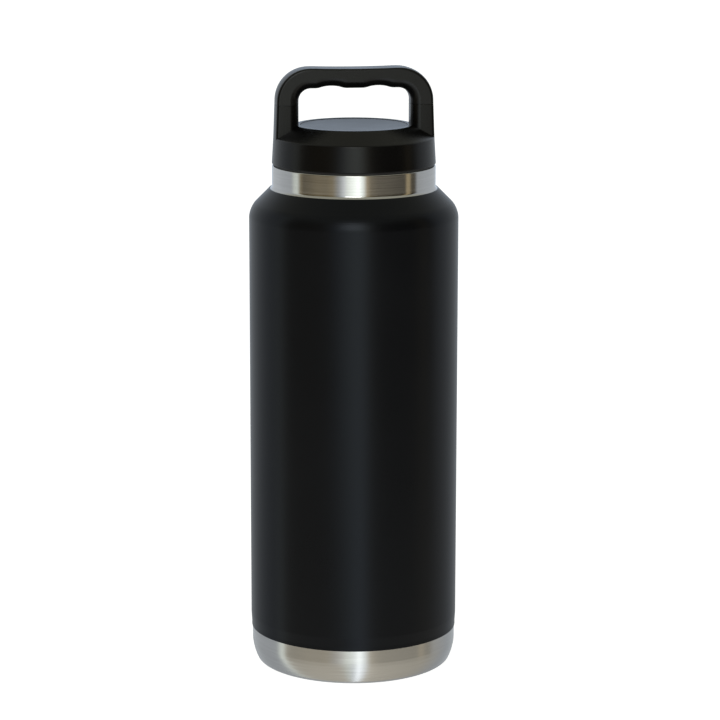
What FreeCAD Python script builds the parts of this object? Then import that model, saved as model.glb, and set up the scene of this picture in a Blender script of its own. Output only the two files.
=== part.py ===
"""A vacuum growler: double-wall steel bottle with a powder-coated side and a screw cap with a loop handle.

Millimetres. +Z is up. The origin is the centre of the circle that the bottle stands on.
The handle's bar lies along X, and -Y is the front.
"""

import FreeCAD, Part
import math
import os

# ---- bottle, outside ----
body_radius = 45.0  # over the powder coat
body_straight_top = 196.7  # where the straight side ends
shoulder_radius = 9.2  # the round between the side and the cone, over the coat
shoulder_angle = 45.0  # of the cone, from the vertical
neck_radius = 35.1
neck_height = 9.9  # bare steel, from the coat's upper edge to the rim
neck_foot_radius = 1.2  # the hollow round where the cone turns up into the neck
neck_foot_step = 1.2  # how much wider than the neck the coat's upper edge is
rim_round = 0.55
coat_thickness = 0.3
coat_over_weld = 1.7  # the coat runs this far down past the base weld
shell_wall = 0.8
band_draw_in = 0.25  # the bare steel band at the base, in from the wall above it
band_taper_length = 4.0  # the shell draws in over this length, above the weld
base_weld_height = 17.3
base_tuck = 3.0  # how far the base's flank leans in
base_tuck_height = 5.5  # where that lean would meet the straight band
base_flank_round = 17.3
base_edge_round = 3.0

# ---- bottle, underside ----
foot_ring_inset = 7.45  # the foot ring's inside, in from the band
foot_recess_depth = 1.7
port_radius = 1.5
port_bead_radius = 2.6
port_bead_height = 0.8
base_disc_thickness = 0.6
base_disc_gap = 0.5

# ---- bottle, inside ----
vacuum_gap = 2.5
liner_wall = 0.5
liner_lip_thickness = 0.8
rim_land = 2.9  # from the neck's outside to its bore, between the threads
liner_bottom_height = 8.5
liner_bottom_radius = 9.0
liner_weld_height = 24.0
liner_neck_weld_drop = 5.0  # the liner's upper weld, below where the straight side ends
foil_thickness = 0.2
foil_margin = 4.0  # from the liner's two welds
getter_radius = 4.5
getter_height = 1.6
getter_offset = 15.0
strap_thickness = 0.3
strap_width = 5.0
strap_foot = 3.0
strap_side_gap = 0.4

# ---- screw thread ----
thread_lead = 8.0  # rise in one turn
thread_starts = 2
thread_turns = 0.75  # of each rib
thread_root_width = 1.5
thread_crest_width = 0.9
neck_thread_height = 1.4  # how far the neck's ribs stand inwards
plug_thread_height = 1.4
thread_bite = 0.3  # how deep a rib's root is sunk into its wall
neck_thread_drop = 9.6  # from the rim to the start of the neck's ribs
thread_flank_offset = 1.7  # the plug's ribs lie this far below the neck's

# ---- cap ----
seal_washer_thickness = 0.8  # the cap's skirt stands this far off the rim
seal_bead_height = 2.0
seal_inner_gap = 0.4
seal_outer_gap = 0.2
seal_edge_inset = 0.5  # the washer's edge, in from the neck's outside
skirt_overhang = 0.05  # the skirt's lower edge, out past the neck
skirt_draw_in = 0.675  # the skirt leans in this far over its height
skirt_height = 11.2
skirt_wall = 1.55
skirt_shoulder_round = 0.9
cone_height = 5.4
cone_run = 9.275  # the cone goes in this far over its height
plateau_edge_round = 0.8
lip_width = 2.3
disc_recess_depth = 1.8
disc_gap = 0.1
disc_below_lip = 0.2
disc_dish = 0.7
cone_wall = 2.0
roof_thickness = 2.0
flange_thickness = 2.4
flange_gap = 0.1
flange_ledge = 2.0
plug_gap = 2.0  # between the plug's wall and the neck's bore
plug_wall = 1.8
plug_depth = 17.0  # below the rim
plug_end_round = 0.8
plug_base_thickness = 1.8

# ---- handle ----
handle_thickness = 12.5
post_width = 10.475  # of a post at its foot, from the skirt's upper edge inwards
opening_height = 15.7  # from the plateau to the bar's flat underside
opening_corner_radius = 5.2
bar_depth = 8.8
post_draft = 2.1  # degrees, the posts' outsides lean in
handle_corner_radius = 14.0
handle_inner_round = 4.0
handle_outer_round = 1.0
saddle_dip = 0.35
saddle_end_inset = 14.475  # from the skirt's upper edge to the end of the saddle
scallop_depth = 1.15
centre_lobe_half_width = 3.5  # the flat between the two finger hollows, halved
end_lobe_width = 2.1  # from each hollow to the round in the opening's corner
lobe_radius = 6.0
grip_thickness = 1.4
grip_seam_below_bar = 6.9  # from the bar's flat underside down to the grip's lower ends

# ---- worked out from the sizes above ----
shoulder_lean = math.radians(shoulder_angle)
band_radius = body_radius - coat_thickness - band_draw_in
coat_low_edge = base_weld_height - coat_over_weld
foot_inner_radius = band_radius - foot_ring_inset
mouth_radius = neck_radius - rim_land
plug_radius = mouth_radius - plug_gap
skirt_bottom_radius = neck_radius + skirt_overhang
skirt_top_radius = skirt_bottom_radius - skirt_draw_in
plateau_radius = skirt_top_radius - cone_run
opening_half_width = skirt_top_radius - post_width
saddle_half_length = skirt_top_radius - saddle_end_inset
scallops_end = opening_half_width - opening_corner_radius - end_lobe_width
scallop_half_width = (scallops_end - centre_lobe_half_width) / 2
scallop_centre = centre_lobe_half_width + scallop_half_width
liner_radius = body_radius - coat_thickness - shell_wall - vacuum_gap
coat_inset = coat_thickness
shell_inset = coat_thickness + shell_wall
liner_inset = shell_inset + vacuum_gap
bore_inset = liner_inset + liner_wall


def shoulder_corner(inset):
    """The corner that the shoulder's round cuts off, on a skin this far inside the coat."""
    rise = (shoulder_radius - inset) * math.tan(shoulder_lean / 2)
    return body_radius - inset, body_straight_top + rise


def cone_level(inset, radius):
    """The height at which that skin's cone has this radius."""
    corner_radius, corner_height = shoulder_corner(inset)
    return corner_height + (corner_radius - radius) / math.tan(shoulder_lean)


liner_neck_weld = body_straight_top - liner_neck_weld_drop
coat_top = cone_level(0.0, neck_radius + neck_foot_step)
rim = coat_top + neck_height
skirt_bottom = rim + seal_washer_thickness
skirt_top = skirt_bottom + skirt_height
plateau = skirt_top + cone_height
bar_underside = plateau + opening_height
handle_top = bar_underside + bar_depth
grip_seam = bar_underside - grip_seam_below_bar
flange_bottom = skirt_bottom + seal_bead_height
flange_top = flange_bottom + flange_thickness
skirt_bore = skirt_bottom_radius - skirt_wall
recess_radius = plateau_radius - lip_width
recess_floor = plateau - disc_recess_depth
plug_bore = plug_radius - plug_wall
plug_bottom = rim - plug_depth


def turned_corner(before, corner, after, radius):
    """Start, middle and end of the arc of this radius that rounds a corner of an outline."""
    into = FreeCAD.Vector(before[0] - corner[0], 0, before[1] - corner[1]).normalize()
    out = FreeCAD.Vector(after[0] - corner[0], 0, after[1] - corner[1]).normalize()
    at = FreeCAD.Vector(corner[0], 0, corner[1])
    half = into.getAngle(out) / 2
    reach = radius / math.tan(half)
    to_middle = radius / math.sin(half) - radius
    middle = at + (into + out).normalize() * to_middle
    return at + into * reach, middle, at + out * reach


def outline(corners):
    """A closed wire in the XZ plane. A corner is (x, z), or (x, z, radius) where it is rounded."""
    stops = []
    for index, corner in enumerate(corners):
        after = corners[(index + 1) % len(corners)]
        if len(corner) == 3:
            stops.append(turned_corner(corners[index - 1], corner, after, corner[2]))
        else:
            at = FreeCAD.Vector(corner[0], 0, corner[1])
            stops.append((at, None, at))
    edges = []
    for index, (start, middle, end) in enumerate(stops):
        if middle is not None:
            edges.append(Part.Arc(start, middle, end).toShape())
        following = stops[(index + 1) % len(stops)][0]
        if end.distanceToPoint(following) > 1e-6:
            edges.append(Part.makeLine(end, following))
    return Part.Wire(Part.sortEdges(edges)[0])


def turned(corners):
    """A solid turned about Z from its half section."""
    face = Part.Face(outline(corners))
    return face.revolve(FreeCAD.Vector(0, 0, 0), FreeCAD.Vector(0, 0, 1), 360)


def across(corners, width):
    """A solid of this width along Y, centred on the XZ plane."""
    face = Part.Face(outline(corners))
    face.translate(FreeCAD.Vector(0, -width / 2, 0))
    return face.extrude(FreeCAD.Vector(0, width, 0))


def thread_ribs(wall_radius, height, start_level):
    """The helical ribs of one thread; a negative height stands inwards from its wall."""
    side = math.copysign(1, height)
    inner = wall_radius - side * thread_bite
    crest = wall_radius + height
    ribs = []
    for start in range(thread_starts):
        path = Part.makeHelix(thread_lead, thread_lead * thread_turns, wall_radius)
        corners = [
            (inner, -thread_root_width / 2),
            (crest, -thread_crest_width / 2),
            (crest, thread_crest_width / 2),
            (inner, thread_root_width / 2),
        ]
        rib = Part.Wire(path.Edges).makePipeShell([outline(corners)], True, True)
        rib.rotate(FreeCAD.Vector(0, 0, 0), FreeCAD.Vector(0, 0, 1), 360 * start / thread_starts)
        rib.translate(FreeCAD.Vector(0, 0, start_level))
        ribs.append(rib)
    return ribs


# ---- bottle ----
def body_coat():
    """The skin of paint from the bare band up to the bare neck."""
    taper_top = base_weld_height + band_taper_length
    outer_corner = shoulder_corner(0.0)
    inner_corner = shoulder_corner(coat_inset)
    outer_end = outer_corner[0] - (coat_top - outer_corner[1]) * math.tan(shoulder_lean)
    inner_end = inner_corner[0] - (coat_top - inner_corner[1]) * math.tan(shoulder_lean)
    return turned(
        [
            (band_radius, coat_low_edge),
            (band_radius + coat_thickness, coat_low_edge),
            (band_radius + coat_thickness, base_weld_height),
            (body_radius, taper_top),
            (*outer_corner, shoulder_radius),
            (outer_end, coat_top),
            (inner_end, coat_top),
            (*inner_corner, shoulder_radius - coat_inset),
            (body_radius - coat_inset, taper_top),
            (band_radius, base_weld_height),
        ]
    )


def outer_shell():
    """The outer steel wall, from the base weld to the rim."""
    taper_top = base_weld_height + band_taper_length
    outer_corner = shoulder_corner(coat_inset)
    inner_corner = shoulder_corner(shell_inset)
    inner_neck = neck_radius - shell_wall
    return turned(
        [
            (band_radius - shell_wall, base_weld_height),
            (band_radius, base_weld_height),
            (body_radius - coat_inset, taper_top),
            (*outer_corner, shoulder_radius - coat_inset),
            (neck_radius, cone_level(coat_inset, neck_radius), neck_foot_radius),
            (neck_radius, rim, rim_round),
            (inner_neck, rim),
            (inner_neck, cone_level(shell_inset, inner_neck)),
            (*inner_corner, shoulder_radius - shell_inset),
            (body_radius - shell_inset, taper_top),
        ]
    )


def base_cup():
    """The drawn steel cup that closes the outer wall, with a foot ring and a port in its floor."""
    floor = foot_recess_depth
    lean = math.atan(base_tuck / base_tuck_height)
    inner_wall = band_radius - shell_wall
    inner_bend = base_tuck_height + shell_wall * math.tan(lean / 2)
    inner_low = inner_wall - (inner_bend - shell_wall) * math.tan(lean)
    return turned(
        [
            (band_radius, base_weld_height),
            (band_radius, base_tuck_height, base_flank_round),
            (band_radius - base_tuck, 0.0, base_edge_round),
            (foot_inner_radius, 0.0),
            (foot_inner_radius, floor),
            (port_radius, floor),
            (port_radius, floor + shell_wall),
            (foot_inner_radius + shell_wall, floor + shell_wall),
            (foot_inner_radius + shell_wall, shell_wall),
            (inner_low, shell_wall, base_edge_round - shell_wall),
            (inner_wall, inner_bend, base_flank_round - shell_wall),
            (inner_wall, base_weld_height),
        ]
    )


def port_seal():
    """The bead that closes the evacuation port once the air is out."""
    floor = foot_recess_depth
    inside = floor + shell_wall
    return turned(
        [
            (0.0, floor),
            (port_radius, floor),
            (port_radius, inside),
            (port_bead_radius, inside),
            (port_radius, inside + port_bead_height),
            (0.0, inside + port_bead_height),
        ]
    )


def base_disc():
    """The thin plate glued into the recess, over the port."""
    radius = foot_inner_radius - base_disc_gap
    low = foot_recess_depth - base_disc_thickness
    plate = Part.makeCylinder(radius, base_disc_thickness)
    plate.translate(FreeCAD.Vector(0, 0, low))
    return plate


def inner_liner():
    """The straight tube of the inner steel wall."""
    bore = liner_radius - liner_wall
    return turned(
        [
            (bore, liner_weld_height),
            (liner_radius, liner_weld_height),
            (liner_radius, liner_neck_weld),
            (bore, liner_neck_weld),
        ]
    )


def plain_liner_neck():
    """The inner wall's shoulder, neck and lip, before the thread is rolled."""
    outer_corner = shoulder_corner(liner_inset)
    inner_corner = shoulder_corner(bore_inset)
    outer_neck = mouth_radius + liner_wall
    lip_edge = neck_radius - shell_wall
    return turned(
        [
            (liner_radius, liner_neck_weld),
            (*outer_corner, shoulder_radius - liner_inset),
            (outer_neck, cone_level(liner_inset, outer_neck)),
            (outer_neck, rim - liner_lip_thickness),
            (lip_edge, rim - liner_lip_thickness),
            (lip_edge, rim),
            (mouth_radius, rim, rim_round),
            (mouth_radius, cone_level(bore_inset, mouth_radius)),
            (*inner_corner, shoulder_radius - bore_inset),
            (liner_radius - liner_wall, liner_neck_weld),
        ]
    )


def liner_neck():
    """The top of the inner wall, with the ribs that the cap's plug screws into."""
    ribs = thread_ribs(mouth_radius, -neck_thread_height, rim - neck_thread_drop)
    return plain_liner_neck().fuse(ribs)


def liner_bottom():
    """The drawn cup that closes the inner wall."""
    bore = liner_radius - liner_wall
    floor = liner_bottom_height + liner_wall
    return turned(
        [
            (0.0, liner_bottom_height),
            (liner_radius, liner_bottom_height, liner_bottom_radius),
            (liner_radius, liner_weld_height),
            (bore, liner_weld_height),
            (bore, floor, liner_bottom_radius - liner_wall),
            (0.0, floor),
        ]
    )


def radiation_foil():
    """The metal foil wrapped round the inner wall, in the vacuum."""
    low = liner_weld_height + foil_margin
    high = liner_neck_weld - foil_margin
    return turned(
        [
            (liner_radius, low),
            (liner_radius + foil_thickness, low),
            (liner_radius + foil_thickness, high),
            (liner_radius, high),
        ]
    )


def getter():
    """The pellet under the inner wall's floor that soaks up stray gas."""
    pellet = Part.makeCylinder(getter_radius, getter_height)
    pellet.translate(FreeCAD.Vector(getter_offset, 0, liner_bottom_height - getter_height))
    return pellet


def getter_strap():
    """The bent strip, welded to the floor at its two feet, that holds the pellet."""
    inside = getter_radius + strap_side_gap
    outside = inside + strap_thickness
    foot_end = outside + strap_foot
    high = liner_bottom_height
    foot = high - strap_thickness
    inner_low = high - getter_height
    outer_low = inner_low - strap_thickness
    strap = across(
        [
            (-foot_end, high),
            (-inside, high),
            (-inside, inner_low),
            (inside, inner_low),
            (inside, high),
            (foot_end, high),
            (foot_end, foot),
            (outside, foot),
            (outside, outer_low),
            (-outside, outer_low),
            (-outside, foot),
            (-foot_end, foot),
        ],
        strap_width,
    )
    strap.translate(FreeCAD.Vector(getter_offset, 0, 0))
    return strap


# ---- cap ----
def handle_envelope(inset):
    """The turned shape that the handle's ends and top are cut to."""
    lean = math.tan(math.radians(post_draft))
    high = handle_top - inset
    low_radius = skirt_top_radius - inset
    high_radius = low_radius - (high - skirt_top) * lean
    return turned(
        [
            (0.0, skirt_bottom),
            (skirt_top_radius - inset, skirt_bottom),
            (low_radius, skirt_top),
            (high_radius, high, handle_corner_radius - inset),
            (0.0, high),
        ]
    )


def handle_window(inset):
    """Corners of the opening under the bar, with its two finger hollows."""
    side = opening_half_width + inset
    under = bar_underside + inset
    corner = opening_corner_radius + inset
    lobe = lobe_radius - inset
    slope = 2 * math.atan(scallop_depth / scallop_half_width)
    hollow = scallop_half_width / math.sin(slope) - lobe
    reach = scallop_half_width - lobe * math.tan(slope / 2)
    peak = under + reach * math.tan(slope)
    corners = [(-side, skirt_bottom), (-side, under, corner)]
    for centre in (-scallop_centre, scallop_centre):
        corners.append((centre - reach, under, lobe))
        corners.append((centre, peak, hollow))
        corners.append((centre + reach, under, lobe))
    corners.append((side, under, corner))
    corners.append((side, skirt_bottom))
    return corners


def handle_loop(inset):
    """The whole loop of the handle, or the same loop thinner by inset on every side."""
    width = handle_thickness - 2 * inset
    block = across(
        [
            (-body_radius, skirt_bottom),
            (-body_radius, handle_top),
            (body_radius, handle_top),
            (body_radius, skirt_bottom),
        ],
        width,
    )
    loop = block.cut(across(handle_window(inset), 2 * width))
    inner_edges = []
    for edge in loop.Edges:
        box = edge.BoundBox
        on_a_side = abs(abs(box.YMin) - width / 2) < 1e-6 and box.YLength < 1e-6
        at_the_window = max(abs(box.XMin), abs(box.XMax)) < opening_half_width + inset + 1e-3
        if on_a_side and at_the_window and box.ZMax > skirt_bottom + 1e-3:
            inner_edges.append(edge)
    loop = loop.makeFillet(handle_inner_round - inset, inner_edges)
    loop = loop.common(handle_envelope(inset))
    saddle_radius = (saddle_half_length**2 + saddle_dip**2) / (2 * saddle_dip)
    centre = FreeCAD.Vector(0, -handle_thickness, handle_top - saddle_dip + saddle_radius)
    saddle = Part.makeCylinder(
        saddle_radius + inset, 2 * handle_thickness, centre, FreeCAD.Vector(0, 1, 0)
    )
    loop = loop.cut(saddle)
    if inset > 0:
        return loop
    outer_edges = []
    for edge in loop.Edges:
        box = edge.BoundBox
        on_a_side = abs(abs(box.YMin) - width / 2) < 1e-6 and box.YLength < 1e-6
        past_the_window = max(abs(box.XMin), abs(box.XMax)) > opening_half_width + handle_inner_round
        if on_a_side and (past_the_window or box.ZMin > bar_underside + handle_inner_round):
            outer_edges.append(edge)
    return loop.makeFillet(handle_outer_round, outer_edges)


def above_the_seam():
    """Everything over the level where the grip's lower ends stop."""
    size = 2 * body_radius
    block = Part.makeBox(size, size, size)
    block.translate(FreeCAD.Vector(-body_radius, -body_radius, grip_seam))
    return block


def cap_hollow():
    """The room inside the cap, over the plug's flange."""
    ledge_radius = skirt_bore - flange_ledge
    roof = recess_floor - roof_thickness
    below_the_cone = cone_wall * math.hypot(cone_run, cone_height) / cone_run
    ledge_top = skirt_top - below_the_cone + (skirt_top_radius - ledge_radius) * cone_height / cone_run
    roof_radius = ledge_radius - (roof - ledge_top) * cone_run / cone_height
    return turned(
        [
            (0.0, skirt_bottom),
            (skirt_bore, skirt_bottom),
            (skirt_bore, flange_top),
            (ledge_radius, flange_top),
            (ledge_radius, ledge_top),
            (roof_radius, roof),
            (0.0, roof),
        ]
    )


def cap_shell():
    """The moulded cap: skirt, cone, raised lip, two posts and the handle's hard core."""
    dome = turned(
        [
            (0.0, skirt_bottom),
            (skirt_bottom_radius, skirt_bottom),
            (skirt_top_radius, skirt_top, skirt_shoulder_round),
            (plateau_radius, plateau, plateau_edge_round),
            (recess_radius, plateau),
            (recess_radius, recess_floor),
            (0.0, recess_floor),
        ]
    )
    posts = handle_loop(0.0).cut(above_the_seam())
    core = handle_loop(grip_thickness)
    return dome.fuse([posts, core]).cut(cap_hollow())


def handle_grip():
    """The soft sleeve moulded over the handle's bar and corners."""
    loop = handle_loop(0.0).common(above_the_seam())
    return loop.cut(handle_loop(grip_thickness))


def top_disc():
    """The dished plate let into the top of the cap."""
    radius = recess_radius - disc_gap
    edge = plateau - disc_below_lip
    sphere_radius = (radius**2 + disc_dish**2) / (2 * disc_dish)
    plate = Part.makeCylinder(radius, edge - recess_floor)
    plate.translate(FreeCAD.Vector(0, 0, recess_floor))
    dish = Part.makeSphere(sphere_radius)
    dish.translate(FreeCAD.Vector(0, 0, edge - disc_dish + sphere_radius))
    return plate.cut(dish)


def plug():
    """The threaded plug under the cap, with the flange that holds it in the skirt."""
    tube = turned(
        [
            (plug_bore, plug_bottom),
            (plug_radius, plug_bottom, plug_end_round),
            (plug_radius, flange_bottom),
            (skirt_bore - flange_gap, flange_bottom),
            (skirt_bore - flange_gap, flange_top),
            (plug_bore, flange_top),
        ]
    )
    start = rim - neck_thread_drop - thread_flank_offset
    return tube.fuse(thread_ribs(plug_radius, plug_thread_height, start))


def plug_base():
    """The disc welded into the plug's lower end."""
    disc = Part.makeCylinder(plug_bore, plug_base_thickness)
    disc.translate(FreeCAD.Vector(0, 0, plug_bottom))
    return disc


def foam_core():
    """The insulation that fills the plug and the cap."""
    low = plug_bottom + plug_base_thickness
    stem = Part.makeCylinder(plug_bore, flange_top - low)
    stem.translate(FreeCAD.Vector(0, 0, low))
    lower_room = Part.makeCylinder(body_radius, flange_top - skirt_bottom)
    lower_room.translate(FreeCAD.Vector(0, 0, skirt_bottom))
    return stem.fuse(cap_hollow().cut(lower_room)).removeSplitter()


def seal_ring():
    """The silicone seal: a washer on the rim and a bead between plug and skirt."""
    inner = plug_radius + seal_inner_gap
    bead = skirt_bore - seal_outer_gap
    return turned(
        [
            (inner, rim),
            (neck_radius - seal_edge_inset, rim),
            (neck_radius - seal_edge_inset, skirt_bottom),
            (bead, skirt_bottom),
            (bead, flange_bottom),
            (inner, flange_bottom),
        ]
    )


SUB_PARTS = [
    body_coat,
    outer_shell,
    base_cup,
    base_disc,
    port_seal,
    inner_liner,
    liner_neck,
    liner_bottom,
    radiation_foil,
    getter,
    getter_strap,
    cap_shell,
    handle_grip,
    top_disc,
    plug,
    plug_base,
    foam_core,
    seal_ring,
]

os.makedirs("parts", exist_ok=True)
for make in SUB_PARTS:
    shape = make()
    shape.exportStep("parts/" + make.__name__ + ".step")
    print(f"{make.__name__}: {len(shape.Solids)} solid, {shape.Volume / 1000:.2f} cm3, valid {shape.isValid()}")

bore = liner_radius - liner_wall
print(f"rim at {rim:.2f}, top at {handle_top:.2f}, inside radius {bore:.2f}")
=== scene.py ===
# %% [markdown]
# # A vacuum growler
#
# The real thing is a double-wall steel bottle with a black powder coat, a bare polished neck, a bare
# brushed base, and a screw cap with a loop handle. The CAD frame gives the main sizes and the moving bodies.
# Here each visible part is modelled again with clean surfaces and gets its real finish.

# %% Load the frame
import bpy
import bmesh
import math
from mathutils import Matrix, Vector


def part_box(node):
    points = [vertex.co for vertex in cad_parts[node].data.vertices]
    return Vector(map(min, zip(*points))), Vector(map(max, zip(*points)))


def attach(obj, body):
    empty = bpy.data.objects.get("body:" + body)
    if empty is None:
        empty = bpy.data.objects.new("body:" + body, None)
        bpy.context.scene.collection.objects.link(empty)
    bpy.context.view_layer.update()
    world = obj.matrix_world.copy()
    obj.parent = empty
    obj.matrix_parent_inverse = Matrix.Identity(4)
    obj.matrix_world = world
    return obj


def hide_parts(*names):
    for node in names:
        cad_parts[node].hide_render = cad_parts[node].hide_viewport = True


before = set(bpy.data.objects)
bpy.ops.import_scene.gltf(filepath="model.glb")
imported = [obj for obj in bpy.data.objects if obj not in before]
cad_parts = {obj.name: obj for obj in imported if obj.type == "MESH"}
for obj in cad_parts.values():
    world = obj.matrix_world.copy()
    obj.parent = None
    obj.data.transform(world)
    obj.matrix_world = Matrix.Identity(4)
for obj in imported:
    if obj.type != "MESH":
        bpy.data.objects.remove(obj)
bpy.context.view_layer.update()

# %% [markdown]
# ## Sizes
#
# A maker's drawing is in millimetres, so sections are drawn in millimetres and scaled once at the end.
# The main levels come from the boxes of the CAD nodes. Roundings and wall thicknesses can't be read from
# a box, so they are repeated here by name. Names in capitals are sizes given as numbers. Names in small
# letters are read from the frame or worked out, so it is plain which ones follow the CAD when it changes.

# %% Levels and radii in millimetres
MM = 0.001
boxes = {node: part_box(node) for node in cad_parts}


def low(node):
    return boxes[node][0] / MM


def high(node):
    return boxes[node][1] / MM


body_radius = high("body_coat").x
coat_low = low("body_coat").z
coat_top = high("body_coat").z
weld_level = high("base_cup").z
band_radius = high("base_cup").x
rim = high("outer_shell").z
skirt_bottom = low("cap_shell").z
skirt_bottom_radius = high("cap_shell").x
disc_edge = high("top_disc").z
recess_floor = low("top_disc").z
handle_top = high("handle_grip").z
grip_seam = low("handle_grip").z
handle_half = high("handle_grip").y
plug_low = low("plug").z
flange_bottom = high("seal_ring").z
flange_top = high("plug").z
print(f"rim at {rim:.2f}, cap from {skirt_bottom:.2f} to {handle_top:.2f}")

# %% Walls given as numbers
NECK_RADIUS = 35.1
MOUTH_RADIUS = 32.2
COAT = 0.3
SHELL_WALL = 0.8
LINER_WALL = 0.5
LINER_INSET = 3.6
print(f"neck radius {NECK_RADIUS}, mouth radius {MOUTH_RADIUS}, steel {SHELL_WALL} and {LINER_WALL} thick")

# %% [markdown]
# ## Turned pieces
#
# Almost everything on a bottle is turned or drawn round one axis. A cylinder with modifiers could be pushed
# into shape, but a section is how the maker draws it, so a piece starts as a few corners of its half
# section. A corner is typed as radius, height and, where it has one, the radius of its round. Bevelling
# the point with affect="VERTICES" makes that round, exactly as a fillet in a drawing.

# %% A section with rounded corners
ROUND_STEP = math.radians(6)
SAME_POINT = 1e-4


def round_corner(bm, point, radius):
    ends = [edge.other_vert(point).co for edge in point.link_edges]
    half = (ends[0] - point.co).angle(ends[1] - point.co) / 2
    steps = max(3, round((math.pi - 2 * half) / ROUND_STEP))
    bmesh.ops.bevel(
        bm, geom=[point], offset=radius / math.tan(half), offset_type="OFFSET", segments=steps,
        profile=0.5, affect="VERTICES", clamp_overlap=False, material=-1,
    )


def wire(corners, closed):
    bm = bmesh.new()
    points = [bm.verts.new((corner[0], 0, corner[1])) for corner in corners]
    for point, following in zip(points, points[1:]):
        bm.edges.new((point, following))
    if closed:
        bm.edges.new((points[-1], points[0]))
    for point, corner in zip(points, corners):
        if len(corner) == 3:
            round_corner(bm, point, corner[2])
    bmesh.ops.remove_doubles(bm, verts=bm.verts, dist=SAME_POINT)
    return bm


print("a round gets a step for every", round(math.degrees(ROUND_STEP)), "degrees")

# %% [markdown]
# Spinning the section with use_merge closes the ring, and merging the doubles closes the pole. Smooth
# shading would bend light far into the flat walls beside a round. Subdividing more would cure that, but
# two short edges, one at each end of every long wall, hold the shading to the round for far fewer faces.

# %% Spin a section
TURN_STEPS = 256
HOLD = 0.25


def hold_ends(bm):
    for edge in list(bm.edges):
        if edge.calc_length() > 4 * HOLD:
            start, end = edge.verts
            _, near = bmesh.utils.edge_split(edge, start, HOLD / edge.calc_length())
            rest = next(link for link in near.link_edges if link.other_vert(near) == end)
            bmesh.utils.edge_split(rest, end, HOLD / rest.calc_length())


def turned(corners, closed=True):
    bm = wire(corners, closed)
    hold_ends(bm)
    bmesh.ops.spin(
        bm, geom=bm.verts[:] + bm.edges[:], cent=(0, 0, 0), axis=(0, 0, 1), angle=math.tau,
        steps=TURN_STEPS, use_merge=True, use_duplicate=False,
    )
    bmesh.ops.remove_doubles(bm, verts=bm.verts, dist=SAME_POINT)
    bmesh.ops.recalc_face_normals(bm, faces=bm.faces)
    return bm


print("a turned piece has", TURN_STEPS, "steps round")

# %% [markdown]
# A finished mesh is scaled from millimetres to metres, smoothed, and made an object.

# %% From a mesh to a piece of the bottle
SHARP_EDGE = math.radians(35)


def to_object(bm, name):
    bmesh.ops.scale(bm, vec=(MM, MM, MM), verts=bm.verts)
    mesh = bpy.data.meshes.new(name)
    bm.to_mesh(mesh)
    bm.free()
    mesh.shade_smooth()
    made = bpy.data.objects.new(name, mesh)
    bpy.context.scene.collection.objects.link(made)
    return made, mesh


def finish_piece(bm, name, body, nodes, material):
    piece, mesh = to_object(bm, name)
    mesh.set_sharp_from_angle(angle=SHARP_EDGE)
    mesh.materials.append(material)
    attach(piece, body)
    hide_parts(*nodes)
    print(f"{name}: {len(mesh.polygons)} faces, in place of {', '.join(nodes)}")
    return piece


print("edges sharper than", round(math.degrees(SHARP_EDGE)), "degrees stay sharp")

# %% [markdown]
# ## Finishes
#
# Every finish on the bottle needs two things: fine grain you feel with a nail, and slow patches where
# hands and machines have touched it. Painted images could give both, but they need a layout and stop at
# their own resolution. Noise nodes on Object coordinates don't, and those are in metres, so a grain's size
# is typed as its real size. Each effect is a node group, built once, that puts out only values.

# %% Helpers for node trees
def add_node(tree, kind, **settings):
    node = tree.nodes.new(kind)
    for key, value in settings.items():
        setattr(node, key, value)
    return node


def join(tree, *pairs):
    for source, target in pairs:
        tree.links.new(source, target)


def new_group(name, inputs, outputs):
    group = bpy.data.node_groups.new(name, "ShaderNodeTree")
    for label, value in inputs.items():
        socket = group.interface.new_socket(label, in_out="INPUT", socket_type="NodeSocketFloat")
        socket.default_value = value
    for label in outputs:
        group.interface.new_socket(label, in_out="OUTPUT", socket_type="NodeSocketFloat")
    return group, add_node(group, "NodeGroupInput"), add_node(group, "NodeGroupOutput")


def math_node(tree, operation, first, second=None):
    node = add_node(tree, "ShaderNodeMath", operation=operation)
    for index, value in enumerate((first, second)):
        if isinstance(value, (int, float)):
            node.inputs[index].default_value = value
        elif value is not None:
            tree.links.new(value, node.inputs[index])
    return node.outputs[0]


print("node helpers ready")

# %% [markdown]
# Baked powder and moulded plastic are both covered in fine bumps. Three noises do it: one for the bumps
# themselves, a finer one for specks of colour, and a slow one for patches.

# %% Grain: the texture of a coat or a mould
grain, grain_in, grain_out = new_group(
    "fine_grain", {"Grain Size": 0.0004, "Patch Size": 0.03}, ["Height", "Speck", "Patch"]
)
place = add_node(grain, "ShaderNodeTexCoord").outputs["Object"]
for label, size, detail, target in (
    ("Grain Size", 1.0, 2.0, "Height"),
    ("Grain Size", 0.45, 0.0, "Speck"),
    ("Patch Size", 1.0, 3.0, "Patch"),
):
    noise = add_node(grain, "ShaderNodeTexNoise")
    noise.inputs["Detail"].default_value = detail
    join(
        grain,
        (place, noise.inputs["Vector"]),
        (math_node(grain, "DIVIDE", 1 / size, grain_in.outputs[label]), noise.inputs["Scale"]),
        (noise.outputs["Fac"], grain_out.inputs[target]),
    )
print("group fine_grain gives", [socket.name for socket in grain_out.inputs if socket.name])

# %% [markdown]
# A polishing belt or a lathe tool runs round the axis, so its marks are rings. The rings follow one
# coordinate that grows both up the wall and out across a flat face. A slow change with x and y makes
# each ring fade in and out on its way round, as real belt marks do. A Wave texture makes rings too, but
# all of one strength.

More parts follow.
